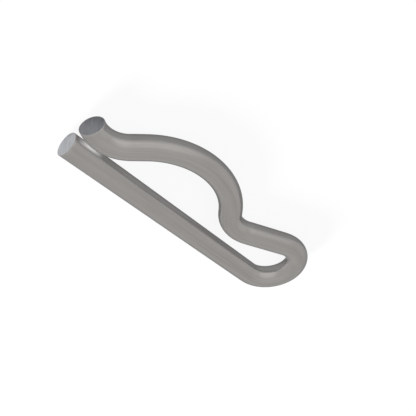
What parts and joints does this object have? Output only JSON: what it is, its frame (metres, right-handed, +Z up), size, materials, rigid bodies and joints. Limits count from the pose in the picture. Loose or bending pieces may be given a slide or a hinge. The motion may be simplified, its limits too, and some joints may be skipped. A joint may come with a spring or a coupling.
{
  "type": "hitch r clip",
  "caption": "Hitch R clip of round spring wire: a straight leg goes through a cross-drilled shaft while the waved side, joined to it by an eye, snaps over the shaft and grips it.",
  "frame": {"origin": "middle of the outline seen from above, on the surface that the clip lies on", "axes": "+X along the straight leg from its cut end towards the eye, +Y from the straight leg towards the waved side, +Z up, square to the plane of the wire"},
  "size_m": [0.0635, 0.02, 0.005],
  "materials": {
    "spring_steel": "drawn wire, satin grey"
  },
  "bodies": {
    "root": {"clip_wire": "spring_steel"}
  },
  "joints": []
}
